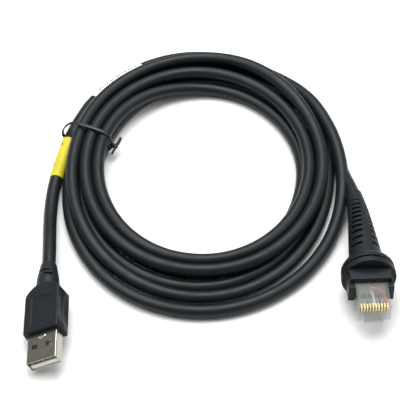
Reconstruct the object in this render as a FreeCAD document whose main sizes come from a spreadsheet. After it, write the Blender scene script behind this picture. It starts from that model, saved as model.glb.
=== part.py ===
"""Interface cable of a handheld barcode scanner, coiled and held by a twist tie. Millimetres, +Z up.

A round black cable runs from a standard-A USB plug, through six turns of a coil, to a ten-position modular plug
with a slotted boot. Both plugs point to -Y. Each plug is drawn in a frame of its own, with Y along its axis from
its front face backwards, X across it and Z through its thickness, and is then placed in the cable's frame.
"""
import FreeCAD, Part
import math
import os
import re

import Sketcher
from FreeCAD import Placement, Rotation, Vector

# Driving dimensions: alias, value and what it is. Lengths in millimetres, angles in degrees.
SIZES = [
    ("cable_diameter", 5.0, "round PVC jacket"),
    # Standard-A plug.
    ("shell_width", 12.0, "USB shell, outside"),
    ("shell_height", 4.5, "USB shell, outside"),
    ("shell_length", 18.75, "USB shell, front to hidden rear edge"),
    ("shell_wall", 0.3, "USB shell, sheet thickness"),
    ("shell_corner", 0.5, "USB shell, outside corner radius"),
    ("window_side", 2.2, "USB shell, latch window"),
    ("window_offset", 2.85, "USB shell, window centre from the axis"),
    ("window_back", 6.4, "USB shell, window centre from the front"),
    ("tongue_front", 0.4, "USB insulator, set back from the shell's front"),
    ("tongue_length", 8.5, "USB insulator, length of the tongue"),
    ("contact_width", 1.0, "USB contact, width"),
    ("contact_thick", 0.2, "USB contact, thickness"),
    ("contact_tail", 2.0, "USB contact, solder tail behind the insulator"),
    ("can_front", 15.75, "USB rear shield, front edge"),
    ("can_rear", 27.6, "USB rear shield, rear face"),
    ("can_wall", 0.3, "USB rear shield, sheet thickness"),
    ("grip_front", 12.0, "USB overmould, front face"),
    ("grip_length", 20.7, "USB overmould, length of the hand grip"),
    ("grip_width", 15.1, "USB overmould, width at the parting line"),
    ("grip_face", 13.9, "USB overmould, width of its flat faces"),
    ("grip_height", 8.0, "USB overmould, thickness"),
    ("grip_rounding", 0.7, "USB overmould, edge radius"),
    ("panel_width", 8.2, "USB overmould, sunken panel"),
    ("panel_length", 12.4, "USB overmould, sunken panel"),
    ("panel_depth", 0.35, "USB overmould, sunken panel"),
    ("neck_length", 10.7, "USB overmould, neck behind the grip"),
    ("neck_base", 4.0, "USB overmould, neck radius at the grip"),
    ("neck_tip", 2.75, "USB overmould, neck radius at its end"),
    ("crimp_wall", 0.5, "crimp rings, wall"),
    ("crimp_length", 3.4, "crimp rings, length"),
    ("jacket_start", 28.2, "USB plug, where the cable's jacket starts"),
    ("strand_diameter", 0.95, "insulated conductor"),
    # Ten-position modular plug.
    ("plug_width", 11.68, "modular plug, width"),
    ("plug_height", 6.6, "modular plug, body thickness"),
    ("plug_length", 21.46, "modular plug, length"),
    ("blade_pitch", 1.02, "modular plug, contact pitch"),
    ("blade_thick", 0.35, "modular plug, contact thickness"),
    ("blade_count", 10, "modular plug, contacts"),
    ("blade_length", 2.1, "modular plug, contact length"),
    ("slot_width", 0.5, "modular plug, contact slot"),
    ("channel_height", 0.4, "modular plug, wire channels above the axis"),
    ("channel_end", 7.0, "modular plug, rear end of the wire channels"),
    ("cavity_width", 9.8, "modular plug, rear cavity"),
    ("cavity_height", 5.3, "modular plug, rear cavity"),
    ("latch_hinge_y", 1.3, "latch, hinge line behind the plug's front"),
    ("latch_hinge_z", -4.1, "latch, hinge line below the plug's axis"),
    ("latch_root", 0.55, "latch, radius of its root"),
    ("latch_length", 10.4, "latch, hinge line to its free end"),
    ("latch_slope", 16.0, "latch, slope at rest"),
    ("latch_thick", 1.0, "latch, lever thickness"),
    ("latch_wide", 6.0, "latch, width near the hinge"),
    ("latch_narrow", 3.4, "latch, width of the lever"),
    # Boot on the modular plug.
    ("collar_front", 12.0, "boot, collar's front face behind the plug's front"),
    ("collar_width", 15.0, "boot, collar"),
    ("collar_height", 11.0, "boot, collar"),
    ("cheek_front", 9.6, "boot, cheeks' front ends"),
    ("cheek_span", 16.4, "boot, across the cheeks"),
    ("flange_front", 16.7, "boot, flange's front face"),
    ("flange_radius", 10.0, "boot, flange"),
    ("taper_start", 25.0, "boot, base of the slotted taper"),
    ("taper_base", 6.4, "boot, radius at the base of the taper"),
    ("taper_tip", 3.1, "boot, radius at its tip"),
    ("boot_end", 60.6, "boot, its tip behind the plug's front"),
    ("slot_floor", 3.0, "boot, radius at the bottom of the slots"),
    ("slot_gap", 1.0, "boot, slot width"),
    ("slot_sweep", 56.0, "boot, angle that a slot goes round"),
    ("slot_turn", 52.0, "boot, middle of its first slot, from the top round towards +X"),
    ("slot_twist", 27.0, "boot, how much further round its last slot lies"),
    # Coil.
    ("outer_half_x", 55.2, "coil, outer oval, half width"),
    ("outer_half_y", 68.2, "coil, outer oval, half length"),
    ("outer_x", -1.85, "coil, outer oval, centre"),
    ("outer_y", 52.05, "coil, outer oval, centre"),
    ("inner_half_x", 38.0, "coil, hole, half width"),
    ("inner_half_y", 43.3, "coil, hole, half length"),
    ("inner_x", -3.55, "coil, hole, centre"),
    ("inner_y", 53.95, "coil, hole, centre"),
    ("coil_height", 10.0, "coil, two layers of cable"),
    ("coil_top_rounding", 4.0, "coil, top edge radius"),
    ("coil_foot_rounding", 2.0, "coil, bottom edge radius"),
    # What is on the cable.
    ("label_wall", 0.2, "wrap labels, thickness"),
    ("yellow_start", 49.85, "yellow label, lower edge"),
    ("yellow_length", 19.9, "yellow label, length"),
    ("white_start", 119.0, "white label, first end round the coil"),
    ("white_stop", 144.0, "white label, second end round the coil"),
    ("white_height", 4.5, "white label, height of its strand's centre"),
        ("tie_radius", 0.6, "twist tie, half thickness of the coated wire"),
    ("tie_core", 0.22, "twist tie, radius of the steel wire"),
    # Places of the two plugs.
    ("usb_x", -58.45, "USB plug, front face"),
    ("usb_y", -39.05, "USB plug, front face"),
    ("usb_z", 6.45, "USB plug, axis height"),
    ("usb_yaw", 1.2, "USB plug, turned about Z"),
    ("usb_roll", -26.0, "USB plug, rolled about its axis"),
    ("plug_x", 57.65, "modular plug, front face"),
    ("plug_y", -21.45, "modular plug, front face"),
    ("plug_z", 11.46, "modular plug, axis height at its front"),
    ("plug_yaw", 2.5, "modular plug, turned about Z"),
    ("plug_pitch", -4.5, "modular plug, tip lower than its front"),
]

# The cable where it isn't coiled, as points of its route: from the USB plug to the coil, and from the boot to it.
USB_ROUTE = [
    (-60.85, 30.25, 3.3),
    (-60.45, 46.25, 2.8),
    (-57.35, 61.75, 3.2),
    (-54.15, 76.25, 4.2),
    (-49.45, 89.25, 4.2),
]
BOOT_ROUTE = [
    (51.05, 54.75, 3.6),
    (48.15, 65.75, 2.8),
    (43.95, 76.25, 2.7),
]

# Conductors in the USB plug: name, contact across, and where each enters the jacket (across, up).
USB_WIRES = [
    ("red", -3.5, -1.1, 0.8),
    ("white", -1.0, -0.7, -0.7),
    ("green", 1.0, 0.7, -0.7),
    ("black", 3.5, 1.1, 0.8),
]

# Conductors in the modular plug, each as points from under its blade to the end of the jacket.
PLUG_WIRES = [
    ("green", [(-4.59, 1.4, 0.4), (-4.3, 8.6, 0.4), (-2.6, 12.2, -0.7), (-0.9, 15.3, -1.0)]),
    ("blue", [(-1.53, 1.4, 0.4), (-1.6, 8.6, 0.4), (-2.0, 12.2, 0.5), (-1.35, 15.3, 0.4)]),
    ("white", [(0.51, 1.4, 0.4), (0.5, 8.6, 0.4), (0.2, 12.2, -0.7), (0.4, 15.3, -1.2)]),
    ("black", [(2.55, 1.4, 0.4), (2.5, 8.6, 0.4), (1.9, 12.2, -0.2), (1.35, 15.3, -0.1)]),
    ("red", [(4.59, 1.4, 0.4), (4.35, 7.6, 0.4), (3.6, 9.6, 1.85), (-0.7, 11.3, 1.95), (-0.1, 15.3, 1.4)]),
]

# The rounded rear corners of the USB grip: how far in from its side, and how far before its rear.
SHOULDER = [(5.3, 0), (3.8, 0.9), (2.2, 2.3), (1.0, 3.9), (0.3, 5.4), (0, 6.6)]

# Where the boot's slots begin behind the plug's front; they lie closer together towards its tip.
SLOT_STARTS = [29.5, 33.0, 36.4, 39.3, 41.9, 44.4, 46.8, 49.1, 51.4, 53.7, 56.0]

# The tie's loop round the coil: outer and inner leg (x, y), and the ends of its two tails.
TIE_OUTER = (-58.2, 74.05)
TIE_INNER = (-39.15, 66.45)
TIE_LOW = 0.65
TIE_TOP = 11.0
TIE_TAILS = [(-35.15, 69.05, 5.0), (-38.25, 63.25, 3.2)]

DOC = FreeCAD.newDocument("scanner_cable")
SHEET = DOC.addObject("Spreadsheet::Sheet", "Sizes")
for row, (alias, amount, meaning) in enumerate(SIZES, 1):
    SHEET.set(f"A{row}", meaning)
    SHEET.set(f"B{row}", str(amount))
    SHEET.setAlias(f"B{row}", alias)
DOC.recompute()

ALIASES = {alias for alias, _, _ in SIZES}
FRONT_AXIS = Vector(0, 1, 0)
NODES = []


def size(alias):
    """A driving dimension, read from the sheet."""
    return float(SHEET.get(alias))


def named(formula):
    """A formula in the sheet's aliases, as an expression that a property can be bound to."""
    return re.sub(r"[a-z_]+", lambda m: f"Sizes.{m[0]}" if m[0] in ALIASES else m[0], str(formula))


def bind(thing, **formulas):
    """Bind properties to formulas in the sheet's aliases; x, y and z are those of the placement."""
    for name, formula in formulas.items():
        path = f"Placement.Base.{name}" if name in "xyz" else name
        thing.setExpression(path, named(formula))
    return thing


def node(thing, label, place=None):
    """Make an object one of the sub-parts, under its own label and at its own place."""
    thing.Label = label
    if place is not None:
        thing.Placement = place
    NODES.append(thing)
    return thing


# ---- PartDesign bodies ----------------------------------------------------------------------


def sketch_on(body, role, name, along=None, turn=None):
    """An empty sketch on an origin plane, moved along its normal or turned about its own upright axis."""
    plane = next(feature for feature in body.Origin.OriginFeatures if feature.Role == role)
    sketch = body.newObject("Sketcher::SketchObject", name)
    sketch.AttachmentSupport = [(plane, "")]
    sketch.MapMode = "FlatFace"
    sketch.Visibility = False
    if turn is not None:
        sketch.AttachmentOffset = Placement(Vector(), Rotation(FRONT_AXIS, turn))
    if along is not None:
        sketch.setExpression("AttachmentOffset.Base.z", named(along))
    return sketch


def outline(sketch, corners):
    """A closed polygon, each corner held by formulas for its two coordinates."""
    first = sketch.GeometryCount
    count = len(corners)
    turns = [math.tau * i / count for i in range(count)]
    spots = [Vector(9 * math.cos(turn), 9 * math.sin(turn), 0) for turn in turns]
    for i in range(count):
        sketch.addGeometry(Part.LineSegment(spots[i], spots[(i + 1) % count]), False)
    joins = [Sketcher.Constraint("Coincident", first + i, 2, first + (i + 1) % count, 1) for i in range(count)]
    sketch.addConstraint(joins)
    for i, (across, up) in enumerate(corners):
        for kind, formula, start in (("DistanceX", across, spots[i].x), ("DistanceY", up, spots[i].y)):
            index = sketch.addConstraint(Sketcher.Constraint(kind, -1, 1, first + i, 1, start))
            name = f"corner{first + i}{kind[-1]}"
            sketch.renameConstraint(index, name)
            sketch.setExpression(f"Constraints.{name}", named(formula))
    return sketch


def rectangle(sketch, left, low, right, high):
    return outline(sketch, [(left, low), (right, low), (right, high), (left, high)])


def circle(sketch, across, up, radius):
    """A circle held by formulas for its centre and its radius."""
    ring = sketch.addGeometry(Part.Circle(Vector(5, 5, 0), Vector(0, 0, 1), 3), False)
    for kind, formula in (("DistanceX", across), ("DistanceY", up), ("Radius", radius)):
        if kind == "Radius":
            index = sketch.addConstraint(Sketcher.Constraint(kind, ring, 3))
        else:
            index = sketch.addConstraint(Sketcher.Constraint(kind, -1, 1, ring, 3, 5))
        name = f"ring{ring}{kind[-1]}"
        sketch.renameConstraint(index, name)
        sketch.setExpression(f"Constraints.{name}", named(formula))
    return sketch


def pad(body, sketch, length, both=False, backwards=False):
    feature = body.newObject("PartDesign::Pad", f"{sketch.Name}_pad")
    feature.Profile = sketch
    feature.Reversed = backwards
    if both:
        feature.SideType = "Symmetric"
    return bind(feature, Length=length)


def pocket(body, sketch, length=None, both=False, backwards=False):
    """A pocket of a given depth, or right through when no depth is given."""
    feature = body.newObject("PartDesign::Pocket", f"{sketch.Name}_pocket")
    feature.Profile = sketch
    feature.Reversed = backwards
    if both:
        feature.SideType = "Symmetric"
    if length is None:
        feature.Type = "ThroughAll"
        return feature
    return bind(feature, Length=length)


def turned(body, sketch, kind="Revolution", angle=None):
    """A revolution or a groove about the plug's axis: a full turn, or an angle to both sides of the sketch."""
    feature = body.newObject(f"PartDesign::{kind}", f"{sketch.Name}_{kind.lower()}")
    feature.Profile = sketch
    feature.ReferenceAxis = (sketch, ["V_Axis"])
    feature.Angle = 360
    if angle is not None:
        feature.Midplane = True
        bind(feature, Angle=angle)
    return feature


def rounded(body, base, radius, chosen, kind="Fillet"):
    """A fillet on those edges of a feature that a test chooses."""
    DOC.recompute()
    names = [f"Edge{i}" for i, edge in enumerate(base.Shape.Edges, 1) if chosen(edge)]
    feature = body.newObject(f"PartDesign::{kind}", f"{base.Name}_{kind.lower()}")
    feature.Base = (base, names)
    return bind(feature, Radius=radius)


def along_y(edge):
    """Whether an edge is a straight one that runs along the plug's axis."""
    if edge.Curve.TypeId != "Part::GeomLine":
        return False
    return abs(edge.tangentAt(edge.FirstParameter).dot(FRONT_AXIS)) > 0.999


# ---- Part primitives and sweeps -------------------------------------------------------------


def box(name, **formulas):
    return bind(DOC.addObject("Part::Box", name), **formulas)


def together(name, shapes):
    feature = DOC.addObject("Part::MultiFuse", name)
    feature.Shapes = shapes
    return feature


def gathered(name, shapes):
    """Separate shapes as one, for cutting."""
    feature = DOC.addObject("Part::Compound", name)
    feature.Links = shapes
    return feature


def cut(name, base, tool):
    feature = DOC.addObject("Part::Cut", name)
    feature.Base = base
    feature.Tool = tool
    return feature


def solid(name, shape):
    """A sub-part or a cutter whose shape is made by Part functions from sizes in the sheet."""
    feature = DOC.addObject("Part::Feature", name)
    feature.Shape = shape
    return feature


def route_wire(points, closed=False):
    """Straight runs joined by arcs that touch both; also the tightest of the arcs' radii."""
    spots = [Vector(*point) for point in points]
    count = len(spots)
    bends = []
    for i in range(count):
        if not closed and i in (0, count - 1):
            bends.append((spots[i], spots[i], None))
            continue
        before, here, after = spots[i - 1], spots[i], spots[(i + 1) % count]
        back = before - here
        ahead = after - here
        reach = 0.45 * min(back.Length, ahead.Length)
        turn = math.pi - back.getAngle(ahead)
        radius = reach / math.tan(turn / 2)
        back.normalize()
        ahead.normalize()
        inward = (back + ahead).normalize()
        middle = here + inward * (radius / math.cos(turn / 2) - radius)
        bends.append((here + back * reach, here + ahead * reach, middle, radius))
    edges = []
    for i in range(count):
        if len(bends[i]) == 4:
            edges.append(Part.Arc(bends[i][0], bends[i][2], bends[i][1]).toShape())
        if i < count - 1 or closed:
            edges.append(Part.LineSegment(bends[i][1], bends[(i + 1) % count][0]).toShape())
    radii = [bend[3] for bend in bends if len(bend) == 4]
    return Part.Wire(edges), min(radii)


def sweep(wire, radius):
    """A round solid along a wire."""
    first = wire.Edges[0]
    start = first.valueAt(first.FirstParameter)
    if first.Orientation == "Reversed":
        start = first.valueAt(first.LastParameter)
    ring = Part.Wire(Part.makeCircle(radius, start, first.tangentAt(first.FirstParameter)))
    return wire.makePipeShell([ring], True, False)


def tube(points, radius, label):
    """A round solid along a route; says how tight it is and whether its volume is right."""
    wire, tightest = route_wire(points)
    shape = sweep(wire, radius)
    ideal = math.pi * radius**2 * wire.Length
    print(f"{label}: length {wire.Length:.1f}, tightest arc {tightest:.1f}, volume {shape.Volume / ideal:.4f} of ideal")
    return shape


def spots_of(place, points):
    """Points in a plug's own frame, in the cable's frame."""
    return [tuple(place.multVec(Vector(*point))) for point in points]


# ---- USB plug -------------------------------------------------------------------------------

USB_PLACE = Placement(
    Vector(size("usb_x"), size("usb_y"), size("usb_z")),
    Rotation(Vector(0, 0, 1), size("usb_yaw")) * Rotation(FRONT_AXIS, size("usb_roll")),
)


def make_usb_shell():
    body = DOC.addObject("PartDesign::Body", "usb_shell")
    outside = rectangle(
        sketch_on(body, "XZ_Plane", "shell_outside"),
        "-shell_width / 2", "-shell_height / 2", "shell_width / 2", "shell_height / 2",
    )
    block = pad(body, outside, "shell_length", backwards=True)
    block = rounded(body, block, "shell_corner", along_y)
    inside = rectangle(
        sketch_on(body, "XZ_Plane", "shell_inside"),
        "-shell_width / 2 + shell_wall", "-shell_height / 2 + shell_wall",
        "shell_width / 2 - shell_wall", "shell_height / 2 - shell_wall",
    )
    pocket(body, inside)
    windows = sketch_on(body, "XY_Plane", "shell_windows")
    for side in ("-", ""):
        rectangle(
            windows,
            f"{side}window_offset - window_side / 2", "window_back - window_side / 2",
            f"{side}window_offset + window_side / 2", "window_back + window_side / 2",
        )
    pocket(body, windows, both=True)
    node(body, "usb_shell", USB_PLACE)


def make_usb_insulator():
    body = DOC.addObject("PartDesign::Body", "usb_insulator")
    side = outline(
        sketch_on(body, "YZ_Plane", "tongue_side"),
        [
            ("tongue_front", "-shell_height / 2 + shell_wall"),
            ("shell_length - 1", "-shell_height / 2 + shell_wall"),
            ("shell_length - 1", "shell_height / 2 - shell_wall"),
            ("tongue_front + tongue_length", "shell_height / 2 - shell_wall"),
            ("tongue_front + tongue_length", "0"),
            ("tongue_front", "0"),
        ],
    )
    pad(body, side, "shell_width - shell_wall * 2 - 0.3", both=True)
    channels = sketch_on(body, "XZ_Plane", "tongue_channels")
    for _, across, _, _ in USB_WIRES:
        rectangle(
            channels, f"{across} - contact_width / 2", "0", f"{across} + contact_width / 2", "contact_thick",
        )
    pocket(body, channels)
    node(body, "usb_insulator", USB_PLACE)


def make_usb_contacts():
    strips = []
    for name, across, _, _ in USB_WIRES:
        strips.append(
            box(
                f"usb_contact_{name}",
                Length="contact_width", Width="shell_length + contact_tail - tongue_front - 0.5",
                Height="contact_thick", x=f"{across} - contact_width / 2", y="tongue_front + 0.5", z="0",
            )
        )
    node(together("usb_contacts", strips), "usb_contacts", USB_PLACE)


def usb_wire_shape(across, to_across, to_up, label):
    """One conductor, from the top of its contact's tail to the end of the jacket."""
    up = size("contact_thick") + size("strand_diameter") / 2
    tail = size("shell_length") + 0.4
    points = [(across, tail, up), (across * 0.93, tail + 3.6, up), (to_across, size("jacket_start") - 0.15, to_up)]
    return tube(points, size("strand_diameter") / 2, label)


def make_usb_wires():
    shapes = []
    for name, across, to_across, to_up in USB_WIRES:
        label = f"usb_wire_{name}"
        thing = solid(label, usb_wire_shape(across, to_across, to_up, label))
        shapes.append(thing.Shape.copy())
        node(thing, label, USB_PLACE)
    return shapes


def make_usb_rear_shield():
    """The pressed can that closes round the soldered joints; the shell's rear end sits inside it."""
    body = DOC.addObject("PartDesign::Body", "usb_rear_shield")
    outside = rectangle(
        sketch_on(body, "XZ_Plane", "can_outside", along="-can_front"),
        "-shell_width / 2 - can_wall", "-shell_height / 2 - can_wall",
        "shell_width / 2 + can_wall", "shell_height / 2 + can_wall",
    )
    pad(body, outside, "can_rear - can_front", backwards=True)
    inside = rectangle(
        sketch_on(body, "XZ_Plane", "can_inside", along="-can_front"),
        "-shell_width / 2", "-shell_height / 2", "shell_width / 2", "shell_height / 2",
    )
    pocket(body, inside, "can_rear - can_front - can_wall")
    hole = circle(sketch_on(body, "XZ_Plane", "can_hole"), "0", "0", "cable_diameter / 2 - 0.4")
    pocket(body, hole)
    node(body, "usb_rear_shield", USB_PLACE)


def make_usb_pre_mould(wires):
    """Stiff plastic run round the joints inside the can."""
    block = box(
        "pre_mould_block",
        Length="shell_width", Width="can_rear - can_wall - shell_length", Height="shell_height",
        x="-shell_width / 2", y="shell_length", z="-shell_height / 2",
    )
    tools = [solid(f"pre_mould_wire_{i}", shape) for i, shape in enumerate(wires)]
    for name, across, _, _ in USB_WIRES:
        tools.append(
            box(
                f"pre_mould_tail_{name}",
                Length="contact_width", Width="contact_tail", Height="contact_thick",
                x=f"{across} - contact_width / 2", y="shell_length", z="0",
            )
        )
    node(cut("usb_pre_mould", block, gathered("pre_mould_tools", tools)), "usb_pre_mould", USB_PLACE)


def make_ring(label, front, place):
    """A crimped ring that holds the cable's screen and jacket."""
    body = DOC.addObject("PartDesign::Body", label)
    half = rectangle(
        sketch_on(body, "XY_Plane", f"{label}_half"),
        "cable_diameter / 2", front, "cable_diameter / 2 + crimp_wall", f"{front} + crimp_length",
    )
    turned(body, half)
    node(body, label, place)


def make_usb_overmould():
    body = DOC.addObject("PartDesign::Body", "usb_overmould")
    section = outline(
        sketch_on(body, "XZ_Plane", "grip_section", along="-grip_front"),
        [
            ("-grip_face / 2", "-grip_height / 2"),
            ("grip_face / 2", "-grip_height / 2"),
            ("grip_width / 2", "0"),
            ("grip_face / 2", "grip_height / 2"),
            ("-grip_face / 2", "grip_height / 2"),
            ("-grip_width / 2", "0"),
        ],
    )
    pad(body, section, "grip_length", backwards=True)
    shoulders = sketch_on(body, "XY_Plane", "grip_shoulders")
    rear = "grip_front + grip_length"
    for side in ("-", ""):
        bend = [(f"{side}(grip_width / 2 - {across})", f"{rear} - {back}") for across, back in SHOULDER]
        outside = [(f"{side}(grip_width / 2 + 3)", f"{rear} - {SHOULDER[-1][1]}")]
        outside.append((f"{side}(grip_width / 2 + 3)", f"{rear} + 1"))
        outside.append((f"{side}(grip_width / 2 - {SHOULDER[0][0]})", f"{rear} + 1"))
        outline(shoulders, bend + outside)
    block = pocket(body, shoulders, both=True)
    block = rounded(
        body, block, "grip_rounding",
        lambda edge: along_y(edge) and abs(edge.CenterOfMass.z) > 3.5,
    )
    neck = outline(
        sketch_on(body, "XY_Plane", "neck_profile"),
        [
            ("0", f"{rear} - 2"),
            ("neck_base", f"{rear} - 2"),
            ("neck_base", f"{rear} + 2.4"),
            ("neck_base - 0.25", f"{rear} + 4.2"),
            ("neck_tip + 0.3", f"{rear} + neck_length - 2.6"),
            ("neck_tip", f"{rear} + neck_length"),
            ("0", f"{rear} + neck_length"),
        ],
    )
    turned(body, neck)
    panel = rectangle(
        sketch_on(body, "XY_Plane", "grip_panel", along="grip_height / 2"),
        "-panel_width / 2", "grip_front + 2.6", "panel_width / 2", "grip_front + 2.6 + panel_length",
    )
    pocket(body, panel, "panel_depth")
    hole = rectangle(
        sketch_on(body, "XZ_Plane", "shell_hole", along="-grip_front"),
        "-shell_width / 2", "-shell_height / 2", "shell_width / 2", "shell_height / 2",
    )
    pocket(body, hole, "can_rear - grip_front")
    can = rectangle(
        sketch_on(body, "XZ_Plane", "can_space", along="-can_front"),
        "-shell_width / 2 - can_wall", "-shell_height / 2 - can_wall",
        "shell_width / 2 + can_wall", "shell_height / 2 + can_wall",
    )
    pocket(body, can, "can_rear - can_front")
    bore = outline(
        sketch_on(body, "XY_Plane", "grip_bore"),
        [
            ("0", "can_rear - 1"),
            ("cable_diameter / 2", "can_rear - 1"),
            ("cable_diameter / 2", "jacket_start + 0.4"),
            ("cable_diameter / 2 + crimp_wall", "jacket_start + 0.4"),
            ("cable_diameter / 2 + crimp_wall", "jacket_start + 0.4 + crimp_length"),
            ("cable_diameter / 2", "jacket_start + 0.4 + crimp_length"),
            ("cable_diameter / 2", f"{rear} + neck_length + 1"),
            ("0", f"{rear} + neck_length + 1"),
        ],
    )
    turned(body, bore, "Groove")
    for i, (middle, reach) in enumerate([(30, 50), (-10, 100), (30, 50)]):
        for j, turn in enumerate((middle - 90, middle + 90)):
            start = f"{rear} + {4.0 + 1.9 * i}"
            slot = rectangle(
                sketch_on(body, "XY_Plane", f"neck_slot_{i}_{j}", turn=turn),
                "cable_diameter / 2 + 0.2", start, "neck_base + 1", f"{start} + 0.8",
            )
            turned(body, slot, "Groove", angle=reach)
    node(body, "usb_overmould", USB_PLACE)


# ---- Modular plug ---------------------------------------------------------------------------

PLUG_PLACE = Placement(
    Vector(size("plug_x"), size("plug_y"), size("plug_z")),
    Rotation(Vector(0, 0, 1), size("plug_yaw")) * Rotation(Vector(1, 0, 0), size("plug_pitch")),
)


def make_plug_body():
    body = DOC.addObject("PartDesign::Body", "modular_plug_body")
    section = rectangle(
        sketch_on(body, "XZ_Plane", "plug_section"),
        "-plug_width / 2", "-plug_height / 2", "plug_width / 2", "plug_height / 2",
    )
    pad(body, section, "plug_length", backwards=True)
    nose = rectangle(
        sketch_on(body, "XY_Plane", "latch_seat", along="-plug_height / 2"),
        "-latch_wide / 2 - 0.4", "0.15", "latch_wide / 2 + 0.4", "latch_hinge_y",
    )
    pad(body, nose, "1.4", backwards=True)
    seat = circle(
        sketch_on(body, "YZ_Plane", "latch_socket"),
        "latch_hinge_y", "latch_hinge_z", "latch_root + 0.05",
    )
    pocket(body, seat, both=True)
    slot = rectangle(
        sketch_on(body, "XZ_Plane", "blade_slot"),
        "-(blade_count - 1) / 2 * blade_pitch - slot_width / 2", "channel_height + strand_diameter / 2",
        "-(blade_count - 1) / 2 * blade_pitch + slot_width / 2", "plug_height / 2 + 1",
    )
    first = pocket(body, slot, "blade_length + 0.6")
    row = body.newObject("PartDesign::LinearPattern", "blade_slots")
    row.Originals = [first]
    row.Direction = (slot, ["H_Axis"])
    bind(row, Length="(blade_count - 1) * blade_pitch", Occurrences="blade_count")
    body.Tip = row
    channel = rectangle(
        sketch_on(body, "XZ_Plane", "wire_channel", along="-1.2"),
        "-blade_count / 2 * blade_pitch", "channel_height - strand_diameter / 2",
        "blade_count / 2 * blade_pitch", "channel_height + strand_diameter / 2",
    )
    pocket(body, channel, "channel_end")
    cavity = rectangle(
        sketch_on(body, "XZ_Plane", "rear_cavity", along="-channel_end"),
        "-cavity_width / 2", "-cavity_height / 2", "cavity_width / 2", "cavity_height / 2",
    )
    pocket(body, cavity, "plug_length")
    node(body, "modular_plug_body", PLUG_PLACE)


def make_blades():
    blades = []
    for i in range(int(size("blade_count"))):
        blades.append(
            box(
                f"blade_{i + 1}",
                Length="blade_thick", Width="blade_length", Height="plug_height / 2 - 0.3 - channel_height - strand_diameter / 2",
                x=f"({i} - (blade_count - 1) / 2) * blade_pitch - blade_thick / 2", y="0.4",
                z="channel_height + strand_diameter / 2",
            )
        )
    node(together("modular_contacts", blades), "modular_contacts", PLUG_PLACE)


def make_latch():
    """The sprung lever that locks the plug in its socket; drawn level about its own hinge line, then sloped."""
    body = DOC.addObject("PartDesign::Body", "modular_latch")
    root = circle(sketch_on(body, "YZ_Plane", "latch_root"), "0", "0", "latch_root")
    pad(body, root, "latch_wide", both=True)
    lever = outline(
        sketch_on(body, "XY_Plane", "latch_plan"),
        [
            ("-latch_wide / 2", "0"),
            ("latch_wide / 2", "0"),
            ("latch_wide / 2", "4.2"),
            ("latch_narrow / 2", "5.2"),
            ("latch_narrow / 2", "latch_length"),
            ("-latch_narrow / 2", "latch_length"),
            ("-latch_narrow / 2", "5.2"),
            ("-latch_wide / 2", "4.2"),
        ],
    )
    pad(body, lever, "latch_thick", both=True)
    slope = Rotation(Vector(1, 0, 0), -size("latch_slope"))
    at = Vector(0, size("latch_hinge_y"), size("latch_hinge_z"))
    node(body, "modular_latch", PLUG_PLACE * Placement(at, slope))


def make_plug_wires():
    for name, points in PLUG_WIRES:
        label = f"modular_wire_{name}"
        node(solid(label, tube(points, size("strand_diameter") / 2, label)), label, PLUG_PLACE)


def make_jacket_end():
    """The straight end of the cable inside the plug and its boot."""
    body = DOC.addObject("PartDesign::Body", "scanner_cable_core")
    half = rectangle(
        sketch_on(body, "XY_Plane", "core_half"), "0", "15.5", "cable_diameter / 2", "boot_end - 9",
    )
    turned(body, half)
    node(body, "scanner_cable_core", PLUG_PLACE)


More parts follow.
